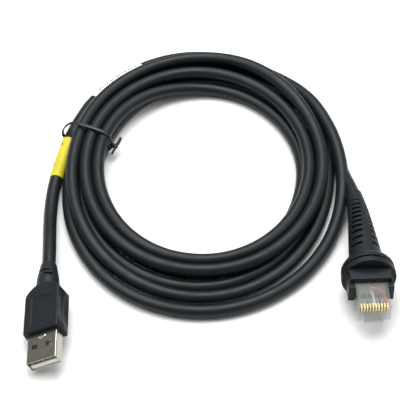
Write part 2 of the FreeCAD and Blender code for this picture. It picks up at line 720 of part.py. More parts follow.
def make_boot():
    body = DOC.addObject("PartDesign::Body", "scanner_boot")
    profile = outline(
        sketch_on(body, "XY_Plane", "boot_profile"),
        [
            ("0", "flange_front"),
            ("flange_radius", "flange_front"),
            ("flange_radius", "flange_front + 2.2"),
            ("flange_radius - 0.25", "flange_front + 2.5"),
            ("flange_radius - 1.1", "flange_front + 2.5"),
            ("flange_radius - 1.1", "flange_front + 3.1"),
            ("flange_radius - 0.2", "flange_front + 3.1"),
            ("flange_radius - 0.1", "flange_front + 3.5"),
            ("flange_radius - 0.25", "flange_front + 4.7"),
            ("flange_radius - 1", "flange_front + 6"),
            ("flange_radius - 2.2", "flange_front + 7"),
            ("taper_base + 0.5", "taper_start - 0.8"),
            ("taper_base - 0.6", "taper_start - 0.8"),
            ("taper_base - 0.6", "taper_start"),
            ("taper_base", "taper_start"),
            ("taper_tip", "boot_end"),
            ("0", "boot_end"),
        ],
    )
    turned(body, profile)
    collar = rectangle(
        sketch_on(body, "XZ_Plane", "boot_collar", along="-collar_front"),
        "-collar_width / 2", "-collar_height / 2", "collar_width / 2", "collar_height / 2",
    )
    pad(body, collar, "flange_front - collar_front + 1", backwards=True)
    cheeks = sketch_on(body, "XZ_Plane", "boot_cheeks", along="-cheek_front")
    for side in ("-", ""):
        rectangle(
            cheeks, f"{side}(plug_width / 2 + 0.02)", "-plug_height / 2", f"{side}(cheek_span / 2)", "plug_height / 2",
        )
    pad(body, cheeks, "flange_front - cheek_front + 1", backwards=True)
    plug_space = rectangle(
        sketch_on(body, "XZ_Plane", "plug_space"),
        "-plug_width / 2", "-plug_height / 2", "plug_width / 2", "plug_height / 2",
    )
    pocket(body, plug_space, "plug_length")
    bore = outline(
        sketch_on(body, "XY_Plane", "boot_bore"),
        [
            ("0", "plug_length - 1"),
            ("cable_diameter / 2 + crimp_wall", "plug_length - 1"),
            ("cable_diameter / 2 + crimp_wall", "plug_length + crimp_length"),
            ("cable_diameter / 2", "plug_length + crimp_length"),
            ("cable_diameter / 2", "boot_end + 1"),
            ("0", "boot_end + 1"),
        ],
    )
    turned(body, bore, "Groove")
    slots = []
    for i, start in enumerate(SLOT_STARTS):
        turn = size("slot_turn") + size("slot_twist") * i / (len(SLOT_STARTS) - 1) - 90
        slot = rectangle(
            sketch_on(body, "XY_Plane", f"boot_slot_{i}", turn=turn),
            "slot_floor", str(start), "taper_base + 1", f"{start} + slot_gap",
        )
        slots.append(turned(body, slot, "Groove", angle="slot_sweep"))
    columns = body.newObject("PartDesign::PolarPattern", "boot_slot_columns")
    columns.Originals = slots
    columns.Axis = (slot, ["V_Axis"])
    columns.Angle = 360
    columns.Occurrences = 4
    body.Tip = columns
    node(body, "scanner_boot", PLUG_PLACE)


# ---- Coil, tubes, labels and tie ------------------------------------------------------------


def oval(name, half_x, half_y, across, along):
    """A standing solid with an oval outline, as high as the coil."""
    line = DOC.addObject("Part::Ellipse", f"{name}_line")
    line.Placement = Placement(Vector(), Rotation(Vector(0, 0, 1), 90))
    bind(line, MajorRadius=half_y, MinorRadius=half_x, x=across, y=along)
    block = DOC.addObject("Part::Extrusion", name)
    block.Base = line
    block.DirMode = "Custom"
    block.Dir = Vector(0, 0, 1)
    block.Solid = True
    return bind(block, LengthFwd="coil_height")


def oval_strand(radius, start, stop):
    """A round solid along part of an oval at the coil's outer edge, between two angles."""
    curve = Part.Ellipse(Vector(), size("outer_half_y") + 0.3, size("outer_half_x") - 0.3)
    arc = curve.toShape(math.radians(start - 90), math.radians(stop - 90))
    arc.Placement = Placement(
        Vector(size("outer_x"), size("outer_y"), size("white_height")), Rotation(Vector(0, 0, 1), 90)
    )
    return sweep(Part.Wire(arc), radius)


def tie_shapes():
    """The tie's coated wire with its twist and tails, the steel wire in it, and the space that the loop takes."""
    legs = [(*TIE_OUTER, TIE_LOW), (*TIE_INNER, TIE_LOW), (*TIE_INNER, TIE_TOP), (*TIE_OUTER, TIE_TOP)]
    loop, _ = route_wire(legs, closed=True)
    coat = sweep(loop, size("tie_radius"))
    core = sweep(loop, size("tie_core"))
    out = Vector(TIE_INNER[0] - TIE_OUTER[0], TIE_INNER[1] - TIE_OUTER[1], 0).normalize()
    knot = Vector(*TIE_INNER, 4.4)
    twist = Part.makeCylinder(1.05, 2.6, knot, out)
    coat = coat.fuse(twist)
    for tail in TIE_TAILS:
        start = knot + out * 2.0
        away = Vector(*tail) - start
        coat = coat.fuse(Part.makeCylinder(size("tie_radius"), away.Length, start, away))
    return coat.cut(core), core, sweep(loop, size("tie_radius") + 0.05)


def make_cable():
    radius = size("cable_diameter") / 2
    neck_out = (0, size("grip_front") + size("grip_length") + size("neck_length") + 7, 0)
    usb_points = spots_of(USB_PLACE, [(0, size("jacket_start"), 0), neck_out]) + USB_ROUTE
    boot_points = spots_of(PLUG_PLACE, [(0, size("boot_end") - 9, 0), (0, size("boot_end") + 5.6, 0)]) + BOOT_ROUTE
    usb_tube = tube(usb_points, radius, "cable_tube_usb")
    boot_tube = tube(boot_points, radius, "cable_tube_scanner")
    fat_tube = tube(usb_points, radius + size("label_wall"), "yellow_label")
    slab = Part.makeBox(30, size("yellow_length"), 20, Vector(-75, size("yellow_start"), -5))
    yellow = fat_tube.common(slab).cut(usb_tube)
    white_start, white_stop = size("white_start"), size("white_stop")
    white = oval_strand(radius + size("label_wall"), white_start, white_stop)
    white = white.cut(oval_strand(radius, white_start - 6, white_stop + 6))
    tie, tie_wire, tie_space = tie_shapes()

    outer = oval("coil_outer", "outer_half_x", "outer_half_y", "outer_x", "outer_y")
    inner = oval("coil_inner", "inner_half_x", "inner_half_y", "inner_x", "inner_y")
    ring = cut("coil_ring", outer, inner)
    DOC.recompute()
    smooth = DOC.addObject("Part::Fillet", "coil_smooth")
    smooth.Base = ring
    rims = []
    for i, edge in enumerate(ring.Shape.Edges, 1):
        if edge.BoundBox.ZLength < 0.01:
            rim = size("coil_foot_rounding") if edge.BoundBox.ZMax < 1 else size("coil_top_rounding")
            rims.append((i, rim, rim))
    smooth.Edges = rims
    strand = solid("labelled_strand", oval_strand(radius, white_start - 12, white_stop + 12))
    lean = math.degrees(math.atan2(TIE_INNER[1] - TIE_OUTER[1], TIE_INNER[0] - TIE_OUTER[0]))
    notch = box("tie_notch", Length="26", Width="tie_radius * 2 + 0.1", Height="5")
    notch.Placement = Placement(Vector(*TIE_OUTER, 1.3 - 5), Rotation(Vector(0, 0, 1), lean))
    tools = [solid("cut_usb_tube", usb_tube), solid("cut_boot_tube", boot_tube), solid("cut_yellow", yellow)]
    tools += [solid("cut_white", white), solid("cut_tie", tie_space), notch]
    coil = cut("cable_coil", together("coil_body", [smooth, strand]), together("coil_tools", tools))
    node(coil, "cable_coil")
    node(solid("cable_tube_usb", usb_tube.cut(tie_space)), "cable_tube_usb")
    node(solid("cable_tube_scanner", boot_tube), "cable_tube_scanner")
    node(solid("yellow_label", yellow), "yellow_label")
    node(solid("white_label", white), "white_label")
    node(solid("twist_tie", tie), "twist_tie")
    node(solid("twist_tie_wire", tie_wire), "twist_tie_wire")


make_usb_shell()
make_usb_insulator()
make_usb_contacts()
usb_wires = make_usb_wires()
make_usb_rear_shield()
make_usb_pre_mould(usb_wires)
make_ring("usb_crimp_ring", "jacket_start + 0.4", USB_PLACE)
make_usb_overmould()
make_plug_body()
make_blades()
make_latch()
make_plug_wires()
make_ring("scanner_crimp_ring", "plug_length", PLUG_PLACE)
make_jacket_end()
make_boot()
make_cable()
DOC.recompute()

for thing in DOC.Objects:
    if "Invalid" in thing.State or "Error" in thing.State:
        raise SystemExit(f"{thing.Name} has not been built: {thing.State}")
os.makedirs("parts", exist_ok=True)
whole = FreeCAD.BoundBox()
for thing in NODES:
    shape = thing.Shape
    if shape.isNull() or not shape.isValid():
        raise SystemExit(f"{thing.Label} has no valid shape")
    shape.exportStep(f"parts/{thing.Label}.step")
    box_of = shape.BoundBox
    if thing.Label.startswith(("usb", "modular", "scanner")):
        whole.add(box_of)
    print(f"{thing.Label}: {len(shape.Solids)} solid(s), {shape.Volume:.1f} mm3, lowest {box_of.ZMin:.2f}")
print(f"connectors span {whole}")
print(f"{len(NODES)} sub-parts written")
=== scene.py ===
"""A barcode scanner's interface cable: a coil between a USB plug and a modular plug in its boot."""

import math

import bmesh
import bpy
import numpy as np
from mathutils import Matrix, Vector


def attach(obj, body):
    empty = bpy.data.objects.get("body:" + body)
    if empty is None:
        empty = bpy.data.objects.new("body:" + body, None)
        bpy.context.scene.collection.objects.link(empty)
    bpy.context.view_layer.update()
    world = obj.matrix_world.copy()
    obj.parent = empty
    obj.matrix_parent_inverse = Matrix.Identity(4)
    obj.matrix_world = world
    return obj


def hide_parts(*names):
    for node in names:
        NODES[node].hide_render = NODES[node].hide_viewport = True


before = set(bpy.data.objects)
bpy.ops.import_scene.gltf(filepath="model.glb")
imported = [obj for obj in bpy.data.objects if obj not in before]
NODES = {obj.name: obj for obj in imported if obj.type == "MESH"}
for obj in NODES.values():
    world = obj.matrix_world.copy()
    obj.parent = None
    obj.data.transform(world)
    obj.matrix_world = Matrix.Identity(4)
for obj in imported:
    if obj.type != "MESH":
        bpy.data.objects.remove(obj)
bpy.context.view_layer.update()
MM = 0.001

# The two plugs' own frames, as in the CAD, for places in mm: Y along the axis from the front face,
# X across, Z through the thickness.
USB = (
    Matrix.Translation(Vector((-58.45, -39.05, 6.45)) * MM)
    @ Matrix.Rotation(math.radians(1.2), 4, "Z")
    @ Matrix.Rotation(math.radians(-26), 4, "Y")
    @ Matrix.Scale(MM, 4)
)
PLUG = (
    Matrix.Translation(Vector((57.65, -21.45, 11.46)) * MM)
    @ Matrix.Rotation(math.radians(2.5), 4, "Z")
    @ Matrix.Rotation(math.radians(-4.5), 4, "X")
    @ Matrix.Scale(MM, 4)
)


# ---- Camera, light and floor ----------------------------------------------------------------

# Places and sizes here are in metres, and the camera's tilt is in degrees from straight down.
CAMERA_AT = (-0.00405, -0.36485, 0.4679)
CAMERA_TILT = 41
CAMERA_LENS = 145.1
# Each lamp: its name, place, size and watts.
LAMPS = [
    ("top", (0.0, 0.42, 1.05), 0.95, 15),
    ("left", (-0.62, 0.0, 0.95), 0.7, 5),
    ("right", (0.85, 0.15, 0.8), 0.8, 3.5),
]
LAMPS_AIM = (0, 0.05, 0)
WORLD_STRENGTH = 0.26
FLOOR_REACH = 4


def make_camera():
    """The camera, looking down at the object from its front."""
    data = bpy.data.cameras.new("camera")
    data.lens = CAMERA_LENS
    data.sensor_width = 36
    data.clip_start = 0.01
    data.clip_end = 10
    camera = bpy.data.objects.new("camera", data)
    camera.location = CAMERA_AT
    camera.rotation_euler = (math.radians(CAMERA_TILT), 0, 0)
    bpy.context.collection.objects.link(camera)
    bpy.context.scene.camera = camera


def make_lamp(name, place, size, watts):
    """A round soft lamp aimed at the object."""
    data = bpy.data.lights.new(name, "AREA")
    data.shape = "DISK"
    data.size = size
    data.energy = watts
    lamp = bpy.data.objects.new(name, data)
    lamp.location = place
    aim = Vector(LAMPS_AIM) - Vector(place)
    lamp.rotation_euler = aim.to_track_quat("-Z", "Y").to_euler()
    bpy.context.collection.objects.link(lamp)


def make_floor():
    """A plain square at the height that the object stands on."""
    mesh = bpy.data.meshes.new("floor")
    corners = [(-1, -1), (1, -1), (1, 1), (-1, 1)]
    mesh.from_pydata([(x * FLOOR_REACH, y * FLOOR_REACH, 0) for x, y in corners], [], [range(4)])
    floor = bpy.data.objects.new("floor", mesh)
    bpy.context.collection.objects.link(floor)
    dress(floor, "floor")


def make_world():
    """Plain white light from all round, and colours shown as they are."""
    world = bpy.data.worlds.new("world")
    world.use_nodes = True
    world.node_tree.nodes["Background"].inputs["Color"].default_value = (1, 1, 1, 1)
    world.node_tree.nodes["Background"].inputs["Strength"].default_value = WORLD_STRENGTH
    bpy.context.scene.world = world
    bpy.context.scene.view_settings.view_transform = "Standard"


# ---- Materials ------------------------------------------------------------------------------

# Noise textures: how fine each is, per metre, and its detail.
PLASTIC_PATCHES = (90, 5)
PLASTIC_GLOSS = (260, 6)
PLASTIC_SKIN = (2600, 3)
PLASTIC_WAVES = (420, 4)
METAL_PATCHES = (150, 5)
CLEAR_GLOSS = (300, 4)
CLEAR_WAVES = (500, 3)
# Depths of relief, in metres.
INK_GRAIN = 0.000004
FINE_GRAIN = 0.000006
GRAIN = 0.000012
COARSE_GRAIN = 0.00002
# The tint of the highlights on black plastic.
COOL = (0.86, 0.96, 1.0)


def new_material(name, colour, roughness, metallic=0.0, **sockets):
    """A material and its nodes: a principled shader with plain values on its own sockets."""
    material = bpy.data.materials.new(name)
    material.use_nodes = True
    shader = material.node_tree.nodes["Principled BSDF"]
    shader.inputs["Base Color"].default_value = (*colour, 1)
    shader.inputs["Roughness"].default_value = roughness
    shader.inputs["Metallic"].default_value = metallic
    for socket, amount in sockets.items():
        shader.inputs[socket.replace("_", " ")].default_value = amount
    return material


def noise(material, scale, detail, stretch=(1, 1, 1)):
    """A noise texture over the object's own coordinates; stretch makes it finer along an axis."""
    nodes = material.node_tree.nodes
    links = material.node_tree.links
    place = nodes.new("ShaderNodeTexCoord")
    mapping = nodes.new("ShaderNodeMapping")
    mapping.inputs["Scale"].default_value = stretch
    texture = nodes.new("ShaderNodeTexNoise")
    texture.inputs["Scale"].default_value = scale
    texture.inputs["Detail"].default_value = detail
    links.new(place.outputs["Object"], mapping.inputs["Vector"])
    links.new(mapping.outputs["Vector"], texture.inputs["Vector"])
    return texture


def ramp(material, texture, stops, socket):
    """Colours or greys spread over a texture, fed to one of the shader's sockets."""
    nodes = material.node_tree.nodes
    links = material.node_tree.links
    band = nodes.new("ShaderNodeValToRGB")
    elements = band.color_ramp.elements
    while len(elements) < len(stops):
        elements.new(0.5)
    for element, (at, colour) in zip(elements, stops):
        element.position = at
        element.color = (*colour, 1) if hasattr(colour, "__len__") else (*[colour] * 3, 1)
    links.new(texture.outputs[0], band.inputs["Fac"])
    links.new(band.outputs["Color"], nodes["Principled BSDF"].inputs[socket])


def bump(material, textures, depth):
    """Bump from one or more textures, each with its share of a depth in metres."""
    nodes = material.node_tree.nodes
    links = material.node_tree.links
    last = None
    for texture, share in textures:
        relief = nodes.new("ShaderNodeBump")
        relief.inputs["Strength"].default_value = 1.0
        relief.inputs["Distance"].default_value = depth * share
        links.new(texture.outputs[0], relief.inputs["Height"])
        if last is not None:
            links.new(last.outputs["Normal"], relief.inputs["Normal"])
        last = relief
    links.new(last.outputs["Normal"], nodes["Principled BSDF"].inputs["Normal"])


def soft_plastic(name, dark, light, rough, grain=GRAIN, gloss=0.5, tint=(1, 1, 1)):
    """Matt moulded or extruded plastic: slightly uneven colour and gloss, and a fine skin."""
    tinted = {"Specular_IOR_Level": gloss, "Specular_Tint": (*tint, 1)}
    material = new_material(name, light, rough, **tinted)
    ramp(material, noise(material, *PLASTIC_PATCHES), [(0.3, dark), (0.7, light)], "Base Color")
    stops = [(0.3, rough - 0.05), (0.75, rough + 0.08)]
    ramp(material, noise(material, *PLASTIC_GLOSS), stops, "Roughness")
    skin = noise(material, *PLASTIC_SKIN)
    waves = noise(material, *PLASTIC_WAVES)
    bump(material, [(skin, 1.0), (waves, 2.0)], grain)
    return material


def metal(name, dark, light, rough, scale=900, stretch=(1, 1, 1)):
    """Plated or bare metal: slightly uneven colour, and gloss and relief drawn out one way."""
    material = new_material(name, light, rough, metallic=1.0)
    ramp(material, noise(material, *METAL_PATCHES), [(0.3, dark), (0.7, light)], "Base Color")
    stops = [(0.3, rough - 0.06), (0.7, rough + 0.1)]
    ramp(material, noise(material, scale, 5, stretch), stops, "Roughness")
    bump(material, [(noise(material, scale * 2, 3, stretch), 1.0)], FINE_GRAIN)
    return material


def clear_plastic(name, colour, rough, alpha, gloss):
    """Clear plastic as a see-through skin, with uneven gloss and slight waves."""
    material = new_material(name, colour, rough, IOR=1.5, Alpha=alpha)
    ramp(material, noise(material, *CLEAR_GLOSS), list(zip((0.3, 0.7), gloss)), "Roughness")
    bump(material, [(noise(material, *CLEAR_WAVES), 1.0)], COARSE_GRAIN)
    return material


def make_materials():
    made = {
        "cable": soft_plastic(
            "cable_pvc", (0.004, 0.005, 0.006), (0.007, 0.0085, 0.010), 0.46, gloss=0.33, tint=COOL
        ),
        "moulded": soft_plastic(
            "moulded_pvc", (0.004, 0.0055, 0.0075), (0.007, 0.0095, 0.013), 0.5,
            COARSE_GRAIN, gloss=0.3, tint=COOL,
        ),
        "tie": soft_plastic("tie_coating", (0.004, 0.004, 0.005), (0.008, 0.008, 0.009), 0.4),
        "shell": metal("nickel", (0.40, 0.39, 0.335), (0.47, 0.46, 0.395), 0.2, 700, (6, 1, 6)),
        # For the shell's raised mark: the shell's nickel made much lighter, a painted highlight.
        "bright": metal("nickel_painted_highlight", (0.75, 0.70, 0.58), (0.88, 0.83, 0.70), 0.2),
        "steel": metal("tinned_steel", (0.50, 0.50, 0.49), (0.63, 0.62, 0.60), 0.34),
        "gold": metal("gold", (0.78, 0.53, 0.17), (0.92, 0.68, 0.27), 0.22),
        "white": soft_plastic("white_nylon", (0.80, 0.80, 0.78), (0.88, 0.88, 0.87), 0.34),
        "filler": soft_plastic("inner_moulding", (0.55, 0.55, 0.52), (0.64, 0.64, 0.60), 0.5),
    }
    wires = {
        "red": ((0.42, 0.012, 0.018), (0.60, 0.03, 0.035)),
        "white": ((0.66, 0.66, 0.64), (0.80, 0.80, 0.78)),
        "green": ((0.006, 0.13, 0.05), (0.012, 0.22, 0.09)),
        "blue": ((0.01, 0.10, 0.14), (0.02, 0.17, 0.22)),
        "black": ((0.006, 0.006, 0.006), (0.012, 0.012, 0.012)),
    }
    for colour, (dark, light) in wires.items():
        made[f"wire_{colour}"] = soft_plastic(f"wire_{colour}", dark, light, 0.35)
    plain = [
        ("red_ink", "red_ink", (0.30, 0.06, 0.01), (0.42, 0.11, 0.02), 0.45, INK_GRAIN),
        ("blue_ink", "blue_ink", (0.05, 0.055, 0.07), (0.10, 0.11, 0.14), 0.45, INK_GRAIN),
        ("yellow", "yellow_vinyl", (0.56, 0.48, 0.02), (0.64, 0.56, 0.03), 0.4, FINE_GRAIN, 0.3),
        ("paper", "white_vinyl", (0.70, 0.70, 0.68), (0.82, 0.82, 0.80), 0.4, FINE_GRAIN),
        ("floor", "studio_floor", (0.86, 0.865, 0.86), (0.88, 0.885, 0.88), 0.75),
    ]
    for key, *look in plain:
        made[key] = soft_plastic(*look)
    made["clear"] = clear_plastic(
        "clear_polycarbonate", (0.40, 0.40, 0.375), 0.08, 0.27, (0.06, 0.16)
    )
    # The latch: the body's clear plastic made lighter and more see-through, a painted highlight.
    made["latch"] = clear_plastic("clear_latch_painted_highlight", (0.55, 0.55, 0.53), 0.12, 0.2, (0.08, 0.2))
    return made


MATERIALS = make_materials()
# What each CAD node is made of; the wires' nodes end in their colours and are not listed.
NODE_MATERIALS = {
    "usb_shell": "shell",
    "usb_insulator": "white",
    "usb_contacts": "gold",
    "usb_rear_shield": "steel",
    "usb_crimp_ring": "steel",
    "usb_pre_mould": "filler",
    "usb_overmould": "moulded",
    "modular_plug_body": "clear",
    "modular_contacts": "gold",
    "modular_latch": "latch",
    "scanner_crimp_ring": "steel",
    "scanner_cable_core": "cable",
    "scanner_boot": "moulded",
    "cable_coil": "cable",
    "cable_tube_usb": "cable",
    "cable_tube_scanner": "cable",
    "twist_tie": "tie",
    "twist_tie_wire": "steel",
    "yellow_label": "yellow",
    "white_label": "paper",
}


def dress(thing, material):
    """Give an object one of the made materials, in place of any that it has."""
    thing.data.materials.clear()
    thing.data.materials.append(MATERIALS[material])


for node, thing in NODES.items():
    wire_colour = node.rsplit("_", 1)[-1]
    dress(thing, NODE_MATERIALS.get(node, f"wire_{wire_colour}"))


# ---- Cable ----------------------------------------------------------------------------------

# Lengths in this section are in mm, and places round the coil are in degrees on from the tie,
# clockwise. TIE_AT is the tie's own angle.
RADIUS = 2.5
# The oval that the coil goes round: its centre, and half its width and length.
OVAL = (-3.05, 50.95, 46.0, 54.0)
TIE_AT = 155
STEP = 5
# The rounds of smoothing of the line through the stations, then the rounds of settling.
SMOOTHING = 12
SETTLING = 260
# How strongly each round of settling pushes turns apart, keeps them at their stations and evens
# out their bends.
PUSH = 0.6
PULL = 0.1
EVEN = 0.2
# How far apart turns are pushed, as a share of the diameter: the soft jackets give a little.
SQUASH = 0.97
# The least distance between two centre lines that the settling divides by.
NEAREST = 0.05
# How far on from the tie each station is, and where each turn of the coil lies there: (out, up).
STATIONS = (0, 35, 65, 90, 107, 120, 150, 169, 245, 280, 321, 342)
TURNS = [
    ((9.0, 3.9), (12.0, 2.5), (14.8, 2.5), (8.8, 2.8), (8.0, 4.6), (7.6, 7.4),
     (7.5, 7.0), (8.0, 2.5), (11.0, 2.5), (10.8, 2.5), (6.2, 2.5), (4.2, 2.5)),
    ((4.2, 3.6), (6.2, 2.5), (8.2, 2.5), (6.4, 9.0), (4.6, 9.6), (3.4, 4.5),
     (3.4, 2.5), (0.9, 2.5), (4.8, 2.5), (5.0, 4.0), (4.6, 7.0), (3.6, 7.5)),
    ((5.3, 8.2), (6.7, 7.2), (7.8, 7.2), (3.0, 12.6), (1.0, 13.0), (2.0, 9.4),
     (0.9, 7.0), (-1.5, 7.0), (-5.6, 7.0), (-3.6, 7.0), (-1.5, 7.0), (-0.8, 7.8)),
    ((0.4, 8.5), (-0.2, 7.8), (-0.9, 7.4), (-1.9, 7.3), (-2.5, 7.2), (-3.1, 7.1),
     (-4.3, 7.0), (-6.5, 7.0), (-9.8, 7.0), (-8.2, 7.0), (-6.1, 7.0), (-5.2, 7.6)),
    ((-4.2, 8.0), (-4.8, 5.6), (-5.8, 2.5), (-5.8, 2.5), (-5.9, 2.5), (-6.0, 2.5),
     (-6.3, 2.5), (-9.1, 2.5), (-7.2, 2.5), (-5.6, 2.5), (-4.1, 2.5), (-4.6, 2.8)),
    ((-5.0, 3.4), (-3.2, 2.5), (-1.4, 2.5), (-1.2, 2.5), (-1.2, 2.5), (-1.2, 2.5),
     (-1.5, 2.5), (-4.1, 2.5), (-0.2, 2.5), (0.6, 2.5), (1.3, 2.5), (0.3, 3.0)),
    ((-0.3, 3.4), (1.6, 2.5), (3.2, 2.5), (4.0, 2.5), (5.6, 2.5)),
]
LAST = (6 * 360 + 120, (7.4, 2.5))
# The cable outside the coil: inside the USB plug's neck and past it, then on to the tie, and from
# the coil to the boot and inside it. The coil's first points lie where the plug's run comes in.
USB_NECK = (38, 50.4)
BOOT_DEEP = 50
FIRST_POINTS = 2
USB_RUN = [(-60.85, 30.25, 3.3), (-60.45, 46.25, 2.8), (-57.35, 61.75, 3.2), (-54.75, 73.0, 4.0)]
BOOT_RUN = [
    (44.6, 76.0, 2.6), (48.6, 63.5, 2.5), (50.7, 54.4, 3.4), (52.7, 46.4, 4.9), (54.6, 38.4, 6.7),
]


def strands():
    """Where the cable lies across the coil at each step, (out, up), with its turns settled."""
    at, spots = [], []
    for turn, stations in enumerate(TURNS):
        for station, spot in zip(STATIONS, stations):
            at.append(turn * 360 + station)
            spots.append(spot)
    at.append(LAST[0])
    spots.append(LAST[1])
    spots = np.array(spots)
    steps = np.arange(0, LAST[0] + 1, STEP)
    wanted = np.stack([np.interp(steps, at, spots[:, axis]) for axis in (0, 1)], 1)
    for _ in range(SMOOTHING):
        wanted[1:-1] = (wanted[:-2] + 2 * wanted[1:-1] + wanted[2:]) / 4
    place = wanted.copy()
    turn = 360 // STEP
    for _ in range(SETTLING):
        push = np.zeros_like(place)
        for apart in range(turn, len(place), turn):
            gap = place[apart:] - place[:-apart]
            far = np.maximum(np.hypot(gap[:, 0], gap[:, 1]), NEAREST)
            short = np.clip(2 * RADIUS * SQUASH - far, 0, None) / far / 2
            push[apart:] += gap * short[:, None]
            push[:-apart] -= gap * short[:, None]
        place += PUSH * push + PULL * (wanted - place)
        place[1:-1] += EVEN * (place[:-2] + place[2:] - 2 * place[1:-1])
        place[:, 1] = np.maximum(place[:, 1], RADIUS)
    return steps, place


def coil_points():
    """The coil's own points on the cable, step by step round the oval."""
    steps, place = strands()
    across, along, half_x, half_y = OVAL
    points = []
    for step, (out, up) in zip(steps, place):
        turn = math.radians(TIE_AT - step)
        normal = Vector((math.cos(turn) / half_x, math.sin(turn) / half_y, 0)).normalized()
        base = Vector((across + half_x * math.cos(turn), along + half_y * math.sin(turn), up))
        points.append(base + normal * out)
    return points


def spline_object(name, points, radius):
    """A round cord on one smooth open spline, with these control points in metres."""
    data = bpy.data.curves.new(name, "CURVE")
    data.dimensions = "3D"
    line = data.splines.new("NURBS")
    line.points.add(len(points) - 1)
    for point, spot in zip(line.points, points):
        point.co = (*spot, 1)
    line.order_u = 3
    line.use_endpoint_u = True
    line.resolution_u = 4
    data.bevel_depth = radius
    data.bevel_resolution = 6
    data.use_fill_caps = True
    cord = bpy.data.objects.new(name, data)
    bpy.context.collection.objects.link(cord)
    return cord


def read_route(cord, fineness=16):
    """Close points read from a cord's own spline."""
    data = cord.data.copy()
    data.bevel_depth = 0
    data.splines[0].resolution_u = fineness
    holder = bpy.data.objects.new("route", data)
    bpy.context.collection.objects.link(holder)
    bpy.context.view_layer.update()
    graph = bpy.context.evaluated_depsgraph_get()
    mesh = bpy.data.meshes.new_from_object(holder.evaluated_get(graph))
    points = [vertex.co.copy() for vertex in mesh.vertices]
    bpy.data.objects.remove(holder)
    bpy.data.meshes.remove(mesh)
    bpy.data.curves.remove(data)
    return points


def part_between(points, start, stop, spacing):
    """The part of a line between the points nearest to two places, evenly spaced."""
    first, last = (
        min(range(len(points)), key=lambda i, spot=Vector(spot) * MM: (points[i] - spot).length)
        for spot in (start, stop)
    )
    part = points[first:last + 1]
    along = np.concatenate([[0], np.cumsum([(b - a).length for a, b in zip(part, part[1:])])])
    at = np.linspace(0, along[-1], max(2, round(along[-1] / spacing)))
    axes = [np.interp(at, along, [point[axis] for point in part]) for axis in range(3)]
    return [Vector(spot) for spot in np.stack(axes, 1)]


def mesh_object(name, verts, faces, material):
    """A smooth-shaded object made of these points and faces."""
    mesh = bpy.data.meshes.new(name)
    mesh.from_pydata([tuple(v) for v in verts], [], faces)
    mesh.validate()
    thing = bpy.data.objects.new(name, mesh)
    bpy.context.collection.objects.link(thing)
    dress(thing, material)
    mesh.shade_smooth()
    return thing


def make_cable():
    """The whole cable as one cord, from the USB plug's neck round the coil and into the boot."""
    start = [USB @ Vector((0, y, 0)) for y in USB_NECK]
    middle = [Vector(spot) * MM for spot in [*USB_RUN, *coil_points()[FIRST_POINTS:], *BOOT_RUN]]
    end = PLUG @ Vector((0, BOOT_DEEP, 0))
    cable = spline_object("cable", [*start, *middle, end], RADIUS * MM)
    dress(cable, "cable")
    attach(cable, "cable")
    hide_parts("cable_coil", "cable_tube_usb", "cable_tube_scanner")
    return cable


# ---- Labels ---------------------------------------------------------------------------------

# The labels: points round the cable, the spacing of rings along it, where the seam is in radians,
# the skin's thickness, how far its bottom is sunk into the jacket, and the height of its lapped
# seam and of its slight puckers.
SPOKES = 96
RING_SPACING = 0.3
SEAM_AT = 4.2
SKIN = 0.11
SUNK = 0.02
LAP = 0.09
PUCKER = 0.012
# Where each label begins and ends.
YELLOW_ENDS = ((-60.0, 49.9, 2.8), (-55.6, 69.7, 3.5))
WHITE_ENDS = ((-47.6, 93.0, 2.5), (-28.7, 112.5, 2.5))
# The print on the yellow label: each speck's place along it from 0 to 1, and its first and last
# spoke. SPECK is half a speck's length.
YELLOW_PRINT = [(0.80, 63, 68), (0.835, 65, 67), (0.30, 66, 72), (0.26, 68, 71), (0.55, 70, 71)]
SPECK = 0.018
# The rows of bars on the white label: the first and last spoke, the spokes from row to row, the
# spokes that a bar takes, and where the rows begin and end along the label.
WHITE_SPOKES = (30, 74)
ROW_PITCH = 9
BAR_SPOKES = 5
ROW_ENDS = (0.08, 0.92)


def make_sleeve(name, route, start, stop, node, slot, material, ink, marks):
    """A label round the cable: a thin skin, its seam lapped and its ends turned in, with marks."""
    spots = part_between(route, start, stop, RING_SPACING * MM)
    verts, faces = [], []
    skin = [0.0] + [SKIN] * (len(spots) - 2) + [0.0]
    for i, (spot, thick) in enumerate(zip(spots, skin)):
        ahead = spots[min(i + 1, len(spots) - 1)] - spots[max(i - 1, 0)]
        ahead.normalize()
        side = ahead.cross(Vector((0, 0, 1))).normalized()
        up = side.cross(ahead)
        for k in range(SPOKES):
            turn = 2 * math.pi * k / SPOKES
            lap = LAP * (k / SPOKES) if thick else 0
            wave = math.sin(3 * turn + i * 0.35) * math.sin(i * 0.21)
            pucker = PUCKER * wave if thick else 0
            reach = (RADIUS - SUNK + thick + lap + pucker) * MM
            turn += SEAM_AT
            verts.append(spot + (side * math.cos(turn) + up * math.sin(turn)) * reach)
    for i in range(len(spots) - 1):
        for k in range(SPOKES):
            a, b = i * SPOKES + k, i * SPOKES + (k + 1) % SPOKES
            faces.append((a, a + SPOKES, b + SPOKES, b))
    sleeve = mesh_object(name, verts, faces, material)
    sleeve.data.materials.append(MATERIALS[ink])
    for face in sleeve.data.polygons:
        ring, spoke = divmod(face.index, SPOKES)
        if marks(ring / (len(spots) - 1), spoke):
            face.material_index = 1
    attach(sleeve, "cable")
    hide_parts(node)
    return sleeve


def yellow_marks(along, spoke):
    """Small printed specks down the label's outer side."""
    return any(
        abs(along - at) < SPECK and first <= spoke <= last for at, first, last in YELLOW_PRINT
    )


def white_marks(along, spoke):
    """Rows of small printed bars, as on a stock label."""
    first, last = WHITE_SPOKES
    if not first <= spoke <= last:
        return False
    row, place = divmod(spoke - first, ROW_PITCH)
    bar = (int(along * 41) * 7 + row * 3) % 5 < 2
    return place < BAR_SPOKES and ROW_ENDS[0] < along < ROW_ENDS[1] and bar


# ---- Grip, boot and shell -------------------------------------------------------------------

# Lengths in this section are in mm, in each plug's own frame.
# The boot: where it begins to lean, and how fast the lean grows.
LEAN_FROM = 44.5
LEAN = 0.0030
